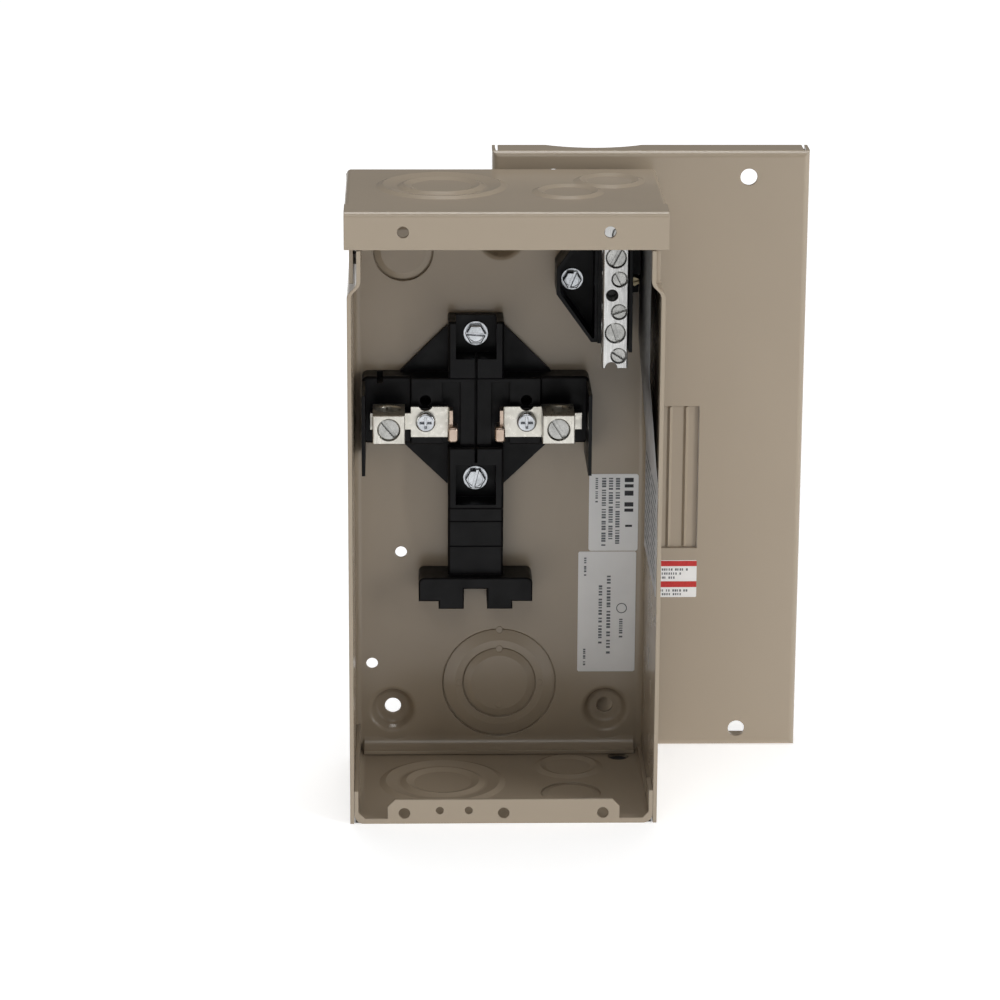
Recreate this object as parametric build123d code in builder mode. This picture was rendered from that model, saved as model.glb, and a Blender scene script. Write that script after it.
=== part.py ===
from build123d import *
import math
import os

# Two-space enclosed panelboard (subpanel) with its cover taken off and stood beside it.
# X is to the right, Y away from the viewer, Z up. The origin is on the underside of the
# box, in the middle of its footprint, on the surface that box and cover stand on.
# Inside the box, "height" is measured from the back wall towards the open front.

# Driving dimensions, mm ---------------------------------------------------------------
SHEET = 1.5             # sheet metal thickness
BOX_WIDTH = 117.5       # over the top cap's front lip
BOX_HEIGHT = 235.0
BOX_DEPTH = 76.5        # front lips to the outside of the back wall
FRONT_Y = -38.1
BACK_Y = FRONT_Y + BOX_DEPTH            # outer face of the back wall
WALL_Y = BACK_Y - SHEET                 # its inner face

SIDE_HALF = 57.8        # half width over the side walls
SIDE_JOGGLE = 3.5       # the side walls step in by this under the top cap
JOGGLE_LOW = 203.6
JOGGLE_HIGH = 208.8
BEND_INSIDE = 2.5       # inside radius of the rear corners

CAP_FLANGE_LEFT = -56.9  # outer faces of the cap's side flanges, below its roof
CAP_FLANGE_RIGHT = 55.9
CAP_FLANGE_LOW = 208.3
CAP_SLOPE_LOW = 221.5    # the flanges slope in from the roof's edges between these
CAP_SLOPE_HIGH = 229.5
CAP_LIP_HEIGHT = 13.8
CAP_TAB = 15.0          # length of the lip's returns along the sides
BACK_GAP = 0.3          # between the back wall and the flanges welded behind it
PAN_GAP = 0.08          # between the side walls and the pan's side flanges

PAN_HALF = SIDE_HALF - SHEET - PAN_GAP  # half width over the pan's side flanges
PAN_BEND = 3.6          # outside radius of its side bends
PAN_TONGUE_HALF = 51.4  # the part that passes under the back wall
BACK_FOOT_HALF = 53.3   # the back's own lower edge, bent forwards over the pan
BACK_FOOT_LENGTH = 4.9
BACK_FOOT_R = 4.6       # inside radius of that bend
PAN_FLANGE_HEIGHT = 13.0
PAN_TAB = 14.0          # length of the full-height part of the side flanges
PAN_BACK_HEIGHT = 7.5
PAN_LIP_HALF = 43.7
PAN_LIP_HEIGHT = 9.6
PAN_LIP_CHAMFER = 2.8
PAN_EDGE_HEIGHT = 2.0

# Cover-fixing holes in the two front lips, and a spare centre hole in the lower one
FIXING_SPACING = 74.84
FIXING_LOW_Z = 4.18
FIXING_HIGH_Z = 227.74
FIXING_R = 2.15
EARTH_HOLE_R = 1.5
EARTH_HOLES_X = (-24.1, -13.2)
EARTH_HOLES_Z = 5.25

# Trade sizes of the knockouts
KO_HALF_INCH = 22.2
KO_THREE_QUARTER = 28.2
KO_ONE = 34.9
KO_ONE_QUARTER = 44.0
KO_STEP = 0.9           # how far a knockout ring is pressed out
PAN_KO_STEP = 0.6       # the same for the flush knockout in the pan
KO_SHOULDER = 2.4       # width of the raised shoulder around a ring in the cap
KO_SLIT = 0.4
KO_SLIT_DEPTH = 0.3     # below the deepest part of the ring
KO_TIE_R = 1.3
CAP_CONCENTRIC = (-23.0, 9.0)
CAP_HALF_INCH = ((23.5, -2.0), (39.8, 18.0))
PAN_CONCENTRIC = (-22.6, 2.2)
PAN_HALF_INCH = ((26.7, 18.6), (26.6, -10.0))
BACK_CONCENTRIC = (0.0, 30.0)
BACK_HALF_INCH = (-37.35, 203.9)

# Wall-screw feet pressed out of the back wall
FOOT_HEIGHT = 4.6
FOOT_OUTER_R = 8.6
FOOT_FLAT_R = 6.6
FOOT_HOLE_R = 3.2
FEET = ((-41.9, 19.0), (41.9, 19.0), (0.0, 210.0))
BACK_HOLES = ((-38.5, 84.0), (-50.0, 38.2))
BACK_HOLE_R = 2.3
DRAIN_HOLE = (46.9, 30.0)
DRAIN_HOLE_R = 4.0

# Interior base (moulded) and what it carries
BASE_X = -9.7
WEB_HEIGHT = 2.2
FLOOR_HEIGHT = 4.0
BLOCK_HALF = 10.65
BLOCK_HEIGHT = 15.5
POCKET_HALF = 7.7
ARM_HALF = 43.5
ARM_LOW = 131.0
ARM_HIGH = 157.3
ARM_END_HEIGHT = 10.5
PLATFORM_HALF = 25.1
PLATFORM_HEIGHT = 12.5
FIN_THICK = 1.3
FIN_HEIGHT = 33.0
BASE_SCREWS_Z = (173.0, 115.5)

BUS_THICK = 1.3
BUS_HEIGHT = 17.0       # front face of the bus bars
BUS_INNER = 11.4        # flat part's end nearest the centre, from the base's centre line
BUS_OUTER = 40.4
BUS_PLATE_OUTER = 24.9
BUS_LOW = 135.2
BUS_HIGH = 147.1
TONGUE_LOW = 138.2
TONGUE_HIGH = 144.6
STAB_X = 8.95
STAB_END_R = 1.4
STAB_NOSE_R = 1.0
STAB_WIDTH = 4.0
STAB_HEIGHT = 25.5
STAB_TOP = 141.3
FLANGE_HEIGHT = 22.8
BUS_SCREW_X = 19.3
BUS_SCREW_Z = 141.4
SPARE_HOLE_Z = 148.4     # moulded hole above each bus bar

LUG_WIDTH = 12.2
LUG_DEPTH = 17.3
LUG_LOW = 137.1
LUG_HIGH = 148.3
LUG_BORE_R = 4.6
LUG_BORE_DEPTH = 10.3   # wire bore's axis behind the lug's front face
LUG_CENTRES = (-33.25, 30.9)
LUG_SCREW_R = 4.3
LUG_SCREW_LENGTH = 4.8
LUG_SCREW_SINK = 0.8
THREAD_CLEARANCE = 0.05

# Neutral bar and its insulator
BAR_X = 42.1
BAR_HALF = 4.7
BAR_HEIGHT = 33.0       # front face
BAR_DEPTH = 13.0
BAR_LOW = 166.4
BAR_HIGH = 222.8
LARGE_SCREW_R = 3.9
LARGE_WIRE_R = 3.2
SMALL_SCREW_R = 3.0
SMALL_WIRE_R = 2.3
SMALL_OFFSET = 1.35
WIRE_NEAR = 4.6         # front wall of every wire hole
LARGE_THREAD = 9.0      # depth of the threaded holes
SMALL_THREAD = 7.7
LARGE_SCREWS_Z = (179.9, 208.7)
SMALL_SCREWS_Z = (171.1, 188.0, 200.5, 217.6)
BAR_SCREW_SINK = 0.7
BAR_SCREW_LENGTH = 4.0
FIXING_HOLE_Z = 194.4
BOND_SCREW_X = 50.2
BOND_SCREW_Z = 195.6
BOND_SHANK_R = 1.4
INSULATOR_SCREW_X = 27.0
INSULATOR_SCREW_Z = 193.9

# Cover, stood upright to the right of the box and behind it
COVER_WIDTH = 121.4
COVER_HEIGHT = 240.8
COVER_FLANGE = 12.8
COVER_X = 57.4
COVER_Y = 46.0          # its front face
COVER_HOLE_R = 3.25
COVER_HOLE_LOW = 7.2
COVER_HOLE_SPACING = FIXING_HIGH_Z - FIXING_LOW_Z
TWIST_HALF = 20.2       # both twist-outs together
TWIST_LOW = 82.5
TWIST_HIGH = 140.2
TWIST_SINK = 1.3
NOTCH_X = -21.5
NOTCH_CHORD = 37.0
NOTCH_RISE = 5.8

LABEL_THICK = 0.15
UPPER_LABEL_CENTRE = (44.2, 99.9)
UPPER_LABEL_SIZE = (19.2, 31.2)
LOWER_LABEL_CENTRE = (42.0, 59.3)
LOWER_LABEL_SIZE = (22.6, 49.4)
COVER_LABEL_Z = 69.9
COVER_LABEL_SIZE = (40.8, 15.2)
SIDE_LABEL_LOW = 88.0
SIDE_LABEL_STUCK = 132.0     # flat on the wall below this
SIDE_LABEL_HUNG = 172.0      # hangs straight down above this
SIDE_LABEL_HIGH = 219.5
SIDE_LABEL_FRONT = -33.0
SIDE_LABEL_DEPTH = 66.5

# Fasteners: hex washer heads, bus bar pan heads, and the bonding screw
PILOT_R = 2.1           # holes in the back that the screws bite into
SCREW_HOLE_R = 2.2      # holes in the mouldings that their shanks pass through
HEX_SHANK_R = 1.95
HEX_HEAD_HEIGHT = 3.4
WASHER_HEIGHT = 0.9
WASHER_R = 4.7
HEX_SHANK_LENGTH = 7.4
PAN_HEAD_R = 3.8
PAN_HEAD_HEIGHT = 2.4
PAN_HEAD_SHANK = 7.0
SMALL_SHANK_R = 1.45
SMALL_PILOT_R = 1.5
BOND_HEAD_LOW = 12.0
BOND_HEAD_HEIGHT = 3.0
BOND_HEX_R = 2.05

os.makedirs("parts", exist_ok=True)


# Helpers ------------------------------------------------------------------------------
def facing(height, x=0.0, z=0.0):
    """Plane that faces the open front, `height` in front of the back wall."""
    return Plane(origin=(x, WALL_Y - height, z), x_dir=(1, 0, 0), z_dir=(0, -1, 0))


def slab(x_range, y_range, z_range, mode=Mode.ADD):
    """Block between three pairs of limits, given in any order."""
    middle = [sum(limits) / 2 for limits in (x_range, y_range, z_range)]
    size = [abs(limits[1] - limits[0]) for limits in (x_range, y_range, z_range)]
    with Locations(tuple(middle)):
        Box(*size, mode=mode)


def heights(low, high):
    """Y limits of something between two heights above the back wall."""
    return (WALL_Y - low, WALL_Y - high)


def drill(plane, radius, depth):
    """Round hole from the plane, along its normal."""
    with Locations(plane):
        Cylinder(radius, depth, align=(Align.CENTER, Align.CENTER, Align.MIN), mode=Mode.SUBTRACT)


def post(plane, radius, length):
    """Round post from the plane, along its normal."""
    with Locations(plane):
        Cylinder(radius, length, align=(Align.CENTER, Align.CENTER, Align.MIN))


def turned(plane, outline, mode=Mode.ADD):
    """Ring turned about the plane's normal, from points of (radius, height above the plane)."""
    profile = Plane(origin=plane.origin, x_dir=plane.x_dir, z_dir=-plane.y_dir)
    with BuildSketch(profile, mode=Mode.PRIVATE) as section:
        Polygon(*outline, align=None)
    revolve(section.sketch, axis=Axis(plane.origin, plane.z_dir), mode=mode)


def press_ring(outside, outer_d, inner_d, shoulder=0.0, step=KO_STEP, raised=True):
    """Knockout ring: pressed out at its outer edge, ramping back to flush at its inner edge.

    `outside` is a plane on the sheet's outer face, at the ring's centre, facing outwards.
    """
    outer_r, inner_r = outer_d / 2, inner_d / 2
    slit_r = outer_r + KO_SLIT
    slit_depth = step + KO_SLIT_DEPTH
    if raised:
        turned(outside, [(inner_r, 0), (outer_r, step), (outer_r + shoulder, 0)])
    turned(outside.offset(-SHEET),
           [(inner_r, 0), (outer_r, step), (outer_r, slit_depth), (slit_r, slit_depth), (slit_r, 0)],
           Mode.SUBTRACT)


def concentric_knockout(outside, shoulder=0.0, step=KO_STEP, tie_sink=0.15):
    """Three-size knockout: 1-1/4 over 1, and 3/4 over 1/2, with ties across its slits."""
    press_ring(outside, KO_ONE_QUARTER, KO_ONE, shoulder, step)
    press_ring(outside, KO_THREE_QUARTER, KO_HALF_INCH, shoulder, step)
    slit_r = KO_ONE_QUARTER / 2
    ring_r = (KO_ONE + KO_THREE_QUARTER) / 4
    tie_foot = outside.offset(-SHEET - tie_sink)
    for x, y in ((0, slit_r), (0, KO_THREE_QUARTER / 2), (ring_r, 0), (-ring_r, 0), (0, -9.2)):
        centre = tie_foot.from_local_coords((x, y, 0))
        post(Plane(origin=centre, x_dir=outside.x_dir, z_dir=outside.z_dir), KO_TIE_R, SHEET)


def half_inch_knockout(outside, shoulder=0.0, step=KO_STEP, raised=True):
    press_ring(outside, KO_HALF_INCH, KO_HALF_INCH - 5, shoulder, step, raised)


def write(part, name):
    part.label = name
    export_step(part, f"parts/{name}.step")


# Box wrapper: one sheet bent into the back and both sides ------------------------------
def wrapper_outline(half_width, y_back, y_front, corner):
    with BuildSketch(mode=Mode.PRIVATE) as outline:
        with Locations((0, (y_back + y_front) / 2)):
            Rectangle(2 * half_width, y_back - y_front)
        rear = outline.vertices().group_by(Axis.Y)[-1]
        fillet(rear, corner)
    return outline.sketch


def wrapper_volume(inset, y_front, low, high):
    """Solid inside the wrapper's outer face moved in by `inset`, with the side joggle."""
    corner = BEND_INSIDE + SHEET - inset
    y_back = BACK_Y - inset
    steps = 4
    sections = []
    for i in range(steps + 1):
        z = JOGGLE_LOW + (JOGGLE_HIGH - JOGGLE_LOW) * i / steps
        shift = SIDE_JOGGLE * (1 - math.cos(math.pi * i / steps)) / 2
        outline = wrapper_outline(SIDE_HALF - inset - shift, y_back, y_front, corner)
        sections.append(Pos(0, 0, z) * outline)
    lower = extrude(Pos(0, 0, low) * wrapper_outline(SIDE_HALF - inset, y_back, y_front, corner),
                    amount=JOGGLE_LOW - low, dir=(0, 0, 1))
    upper = extrude(sections[-1], amount=high - JOGGLE_HIGH, dir=(0, 0, 1))
    joggle = [loft([a, b], ruled=True) for a, b in zip(sections, sections[1:])]
    return lower + joggle + upper


wrapper_outer = wrapper_volume(0, FRONT_Y, 0, BOX_HEIGHT - SHEET)
wrapper_inner = wrapper_volume(SHEET, FRONT_Y - 5, -5, BOX_HEIGHT + 5)

with BuildPart() as box_wrapper:
    add(wrapper_outer)
    add(wrapper_inner, mode=Mode.SUBTRACT)
    # The back stands clear of the pan's tongue, which passes under it
    tongue_slot = PAN_TONGUE_HALF + BACK_GAP
    slab((-tongue_slot, tongue_slot), (WALL_Y - 3, WALL_Y + 3), (-1, SHEET + BACK_GAP),
         mode=Mode.SUBTRACT)
    # Lower edge of the back, bent forwards just above the pan's floor
    foot_low = SHEET + BACK_GAP
    slab((-BACK_FOOT_HALF, BACK_FOOT_HALF), (WALL_Y - BACK_FOOT_LENGTH, WALL_Y + SHEET / 2),
         (foot_low, foot_low + SHEET))
    bend = box_wrapper.edges().filter_by(Axis.X).sort_by_distance((0, WALL_Y, foot_low + SHEET))[0]
    fillet(bend, BACK_FOOT_R)
    # The sides end behind the cap's front lip
    slab((-SIDE_HALF, SIDE_HALF), (FRONT_Y - 1, FRONT_Y + SHEET + BACK_GAP),
         (BOX_HEIGHT - CAP_LIP_HEIGHT - 0.4, BOX_HEIGHT), mode=Mode.SUBTRACT)
    # Feet: shallow dishes pressed out of the back wall, each with a wall-screw hole
    for x, z in FEET:
        dish = Plane(origin=(x, WALL_Y, z), x_dir=(1, 0, 0), z_dir=(0, 0, 1))
        rim = FOOT_OUTER_R + 4
        with BuildSketch(dish) as pressed_out:
            Polygon((0, 0.2), (rim, 0.2), (rim, SHEET), (FOOT_OUTER_R + 1, SHEET),
                    (FOOT_FLAT_R + 1, SHEET + FOOT_HEIGHT), (0, SHEET + FOOT_HEIGHT), align=None)
            corners = pressed_out.vertices().sort_by_distance((FOOT_OUTER_R + 1, SHEET))
            fillet(corners[0], 0.8)
            corners = pressed_out.vertices().sort_by_distance((FOOT_FLAT_R + 1, SHEET + FOOT_HEIGHT))
            fillet(corners[0], 2.2)
        revolve(axis=Axis((x, 0, z), (0, 1, 0)))
        with BuildSketch(dish) as pressed_in:
            Polygon((0, -1), (rim, -1), (rim, 0), (FOOT_OUTER_R, 0), (FOOT_FLAT_R, FOOT_HEIGHT),
                    (0, FOOT_HEIGHT), align=None)
            fillet(pressed_in.vertices().sort_by_distance((FOOT_OUTER_R, 0))[0], 1.9)
            fillet(pressed_in.vertices().sort_by_distance((FOOT_FLAT_R, FOOT_HEIGHT))[0], 1.4)
        revolve(axis=Axis((x, 0, z), (0, 1, 0)), mode=Mode.SUBTRACT)
        drill(facing(-10, x, z), FOOT_HOLE_R, 20)
    # Knockouts in the back, seen from outside
    back_outside = Plane(origin=(0, BACK_Y, 0), x_dir=(-1, 0, 0), z_dir=(0, 1, 0))
    concentric_knockout(back_outside.shift_origin((BACK_CONCENTRIC[0], BACK_Y, BACK_CONCENTRIC[1])))
    half_inch_knockout(back_outside.shift_origin((BACK_HALF_INCH[0], BACK_Y, BACK_HALF_INCH[1])))
    # Plain round holes in the back, and the holes that the screws bite into
    for x, z in BACK_HOLES:
        drill(facing(-3, x, z), BACK_HOLE_R, 5)
    for z in BASE_SCREWS_Z:
        drill(facing(-3, BASE_X, z), PILOT_R, 5)
    drill(facing(-3, INSULATOR_SCREW_X, INSULATOR_SCREW_Z), PILOT_R, 5)
    drill(facing(-3, BOND_SCREW_X, BOND_SCREW_Z), BOND_SHANK_R + 0.1, 5)
write(box_wrapper.part, "box_wrapper")


# Top cap: lid of the box, folded down over the side walls ------------------------------
CAP_HALF = BOX_WIDTH / 2
CAP_BACK_Y = BACK_Y + BACK_GAP + SHEET
TAB_BACK_Y = FRONT_Y + CAP_TAB


def cap_section(inset, bottom):
    """Roof and side flanges seen from the front, drawn in below the roof."""
    with BuildSketch(Plane.XZ.offset(-CAP_BACK_Y - 1), mode=Mode.PRIVATE) as section:
        roof = CAP_HALF - inset
        left, right = CAP_FLANGE_LEFT + inset, CAP_FLANGE_RIGHT - inset
        Polygon((-roof, BOX_HEIGHT - inset), (roof, BOX_HEIGHT - inset), (roof, CAP_SLOPE_HIGH),
                (right, CAP_SLOPE_LOW), (right, bottom), (left, bottom), (left, CAP_SLOPE_LOW),
                (-roof, CAP_SLOPE_HIGH), align=None)
        fillet(section.vertices().group_by(Axis.Y)[-1], 1.8 - 0.6 * inset)
    return section.sketch


def back_plane(x, z):
    return Plane(origin=(x, CAP_BACK_Y + 1, z), x_dir=(1, 0, 0), z_dir=(0, -1, 0))


with BuildPart() as top_cap:
    flange_length = CAP_BACK_Y + 1 - (FRONT_Y + 2.6)
    extrude(cap_section(0, CAP_FLANGE_LOW), amount=flange_length)
    slab((-CAP_HALF, CAP_HALF), (CAP_BACK_Y, CAP_BACK_Y + 2), (CAP_FLANGE_LOW - 1, BOX_HEIGHT + 1),
         mode=Mode.SUBTRACT)
    # Front lip and its two returns
    with BuildSketch(Plane.XY.offset(BOX_HEIGHT - CAP_LIP_HEIGHT)):
        with Locations((0, (FRONT_Y + TAB_BACK_Y) / 2)):
            Rectangle(2 * CAP_HALF, CAP_TAB)
    extrude(amount=CAP_LIP_HEIGHT)
    front_edges = top_cap.edges().filter_by(Axis.X).group_by(Axis.Y)[0]
    fillet(front_edges.sort_by(Axis.Z)[-1], 1.8)
    # Hollow it out, leaving the back flange
    hollow_length = CAP_BACK_Y + 1 - (FRONT_Y + SHEET)
    extrude(cap_section(SHEET, CAP_FLANGE_LOW - 1), amount=hollow_length, mode=Mode.SUBTRACT)
    slab((CAP_FLANGE_LEFT - 2, CAP_FLANGE_RIGHT + 2), (CAP_BACK_Y - SHEET, CAP_BACK_Y),
         (CAP_FLANGE_LOW, BOX_HEIGHT - SHEET))
    for side, flange in ((-1, CAP_FLANGE_LEFT), (1, CAP_FLANGE_RIGHT)):
        # Weld projections onto the joggled side wall and onto the back
        weld_x = (flange - side * SHEET, side * (SIDE_HALF - SIDE_JOGGLE))
        for y in (-18, 18):
            slab(weld_x, (y - 2, y + 2), (212, 216))
        slab((side * 18, side * 22), (BACK_Y, BACK_Y + BACK_GAP), (214, 218))
        slab((flange, side * (CAP_HALF + 1)), (CAP_BACK_Y - SHEET, CAP_BACK_Y + 1),
             (CAP_FLANGE_LOW - 1, CAP_SLOPE_HIGH), mode=Mode.SUBTRACT)
        drill(Plane(origin=(side * FIXING_SPACING / 2, FRONT_Y + 5, FIXING_HIGH_Z), x_dir=(1, 0, 0),
                    z_dir=(0, -1, 0)), FIXING_R, 10)
    # The back flange is cut away around the upper foot and the knockout beside it
    drill(back_plane(0, 210), FOOT_OUTER_R + 3, SHEET + 1.2)
    drill(back_plane(*BACK_HALF_INCH), KO_HALF_INCH / 2 + 1.2, SHEET + 1.2)
    roof = Plane.XY.offset(BOX_HEIGHT)
    concentric_knockout(roof.shift_origin((*CAP_CONCENTRIC, BOX_HEIGHT)), KO_SHOULDER)
    for x, y in CAP_HALF_INCH:
        half_inch_knockout(roof.shift_origin((x, y, BOX_HEIGHT)), KO_SHOULDER)
write(top_cap.part, "top_cap")


# Bottom pan: floor of the box, with a front lip and two side flanges inside the walls ---
with BuildPart() as bottom_pan:
    tray_back = WALL_Y - BACK_GAP
    inner_half = PAN_HALF - SHEET
    slab((-PAN_HALF, PAN_HALF), (FRONT_Y, tray_back), (0, PAN_FLANGE_HEIGHT))
    fillet(bottom_pan.edges().filter_by(Axis.Y).group_by(Axis.Z)[0], PAN_BEND)
    # Hollow, its bends as thick as the sheet
    with BuildSketch(Plane(origin=(0, FRONT_Y + SHEET, 0), x_dir=(1, 0, 0), z_dir=(0, -1, 0))) as well:
        with Locations((0, SHEET + PAN_FLANGE_HEIGHT)):
            Rectangle(2 * inner_half, 2 * PAN_FLANGE_HEIGHT)
        fillet(well.vertices().group_by(Axis.Y)[0], PAN_BEND - SHEET)
    extrude(amount=-BOX_DEPTH, mode=Mode.SUBTRACT)
    # Rear corners follow the rounded corners of the wrapper
    with BuildSketch(Plane.XY) as room:
        with Locations((0, (FRONT_Y - 5 + tray_back) / 2)):
            Rectangle(2 * PAN_HALF, tray_back - FRONT_Y + 5)
        fillet(room.vertices().group_by(Axis.Y)[-1], BEND_INSIDE - BACK_GAP)
    extrude(amount=PAN_FLANGE_HEIGHT, mode=Mode.INTERSECT)
    # Side flanges slope down towards the back
    for side in (-1, 1):
        with BuildSketch(Plane(origin=(side * inner_half, 0, 0), x_dir=(0, 1, 0), z_dir=(side, 0, 0))):
            Polygon((FRONT_Y + PAN_TAB, PAN_FLANGE_HEIGHT + 1), (FRONT_Y + PAN_TAB, PAN_FLANGE_HEIGHT),
                    (FRONT_Y + PAN_TAB + 6, PAN_BEND + 0.5), (WALL_Y + 1, PAN_BEND + 0.5),
                    (WALL_Y + 1, PAN_FLANGE_HEIGHT + 1), align=None)
        extrude(amount=SHEET + 1, both=True, mode=Mode.SUBTRACT)
    # Tongue under the back wall, turned up behind it
    slab((-PAN_TONGUE_HALF, PAN_TONGUE_HALF), (tray_back - 1, CAP_BACK_Y), (0, SHEET))
    slab((-PAN_TONGUE_HALF, PAN_TONGUE_HALF), (CAP_BACK_Y - SHEET, CAP_BACK_Y), (0, PAN_BACK_HEIGHT))
    # Front wall trimmed down to the lip between its chamfered corners
    for side in (-1, 1):
        edge = side * PAN_LIP_HALF
        inner = side * (PAN_LIP_HALF - PAN_LIP_CHAMFER)
        flange = side * inner_half
        with BuildSketch(Plane(origin=(0, FRONT_Y - 1, 0), x_dir=(1, 0, 0), z_dir=(0, -1, 0))):
            Polygon((edge, PAN_EDGE_HEIGHT), (edge, PAN_LIP_HEIGHT - PAN_LIP_CHAMFER),
                    (inner, PAN_LIP_HEIGHT), (inner, 20), (flange, 20),
                    (flange, PAN_EDGE_HEIGHT + 2.4), (flange - side * 2.4, PAN_EDGE_HEIGHT), align=None)
        extrude(amount=-(SHEET + 1), mode=Mode.SUBTRACT)
    slab((-PAN_LIP_HALF, PAN_LIP_HALF), (FRONT_Y - 1, FRONT_Y + SHEET), (PAN_LIP_HEIGHT, 20),
         mode=Mode.SUBTRACT)
    lip_front = Plane(origin=(0, FRONT_Y + 5, 0), x_dir=(1, 0, 0), z_dir=(0, -1, 0))
    for x in (-FIXING_SPACING / 2, 0, FIXING_SPACING / 2):
        drill(lip_front.shift_origin((x, FRONT_Y + 5, FIXING_LOW_Z)), FIXING_R, 10)
    for x in EARTH_HOLES_X:
        drill(lip_front.shift_origin((x, FRONT_Y + 5, EARTH_HOLES_Z)), EARTH_HOLE_R, 10)
    # Weld projections out to the side walls
    for side in (-1, 1):
        slab((side * PAN_HALF, side * (SIDE_HALF - SHEET)), (-31, -27), (6, 10))
    # Round hole in the rear right corner
    drill(Plane(origin=(*DRAIN_HOLE, -1)), DRAIN_HOLE_R, 4)
    # Knockouts pressed up into the box, but the front one, which is flush with the floor
    floor_top = Plane.XY.offset(SHEET)
    rear, front = PAN_HALF_INCH
    concentric_knockout(floor_top.shift_origin((*PAN_CONCENTRIC, SHEET)), KO_SHOULDER, tie_sink=0)
    half_inch_knockout(floor_top.shift_origin((*rear, SHEET)), KO_SHOULDER)
    underside = Plane(origin=(*front, 0), x_dir=(1, 0, 0), z_dir=(0, 0, -1))
    half_inch_knockout(underside, step=PAN_KO_STEP, raised=False)
write(bottom_pan.part, "bottom_pan")


# Interior base: one black moulding that carries the bus bars and the breakers' feet ------
def mirrored(points):
    """Outline from its right half, mirrored about the base's centre line."""
    return points + [(-x, z) for x, z in reversed(points)]


def base_slab(x_range, z_range, low, high, mode=Mode.ADD):
    """Block on the base, with x measured from its centre line."""
    slab((BASE_X + x_range[0], BASE_X + x_range[1]), heights(low, high), z_range, mode)


def base_block(half_width, z_range, height, soft=0.5, corner=0.8):
    """Block across the base's centre line, its corners rounded and front edges chamfered."""
    with BuildSketch(facing(0, BASE_X)) as outline:
        with Locations((0, sum(z_range) / 2)):
            RectangleRounded(2 * half_width, abs(z_range[1] - z_range[0]), corner)
    extrude(outline.sketch, amount=height - soft)
    extrude(Pos(0, soft - height, 0) * outline.sketch, amount=soft, taper=45)


LOWER_BLOCK_LOW = 105.7
LOWER_BLOCK_HIGH = 130.6
UPPER_BLOCK_HIGH = 180.0
FOOT_TOP = 78.3
RAIL_HEIGHT = 16.0
RAIL_HALF = 22.0
NECK_STEPS = ((LOWER_BLOCK_LOW, 100.2, 14.6), (100.2, 89.8, 13.2), (89.8, FOOT_TOP - 2, 11.5))

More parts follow.
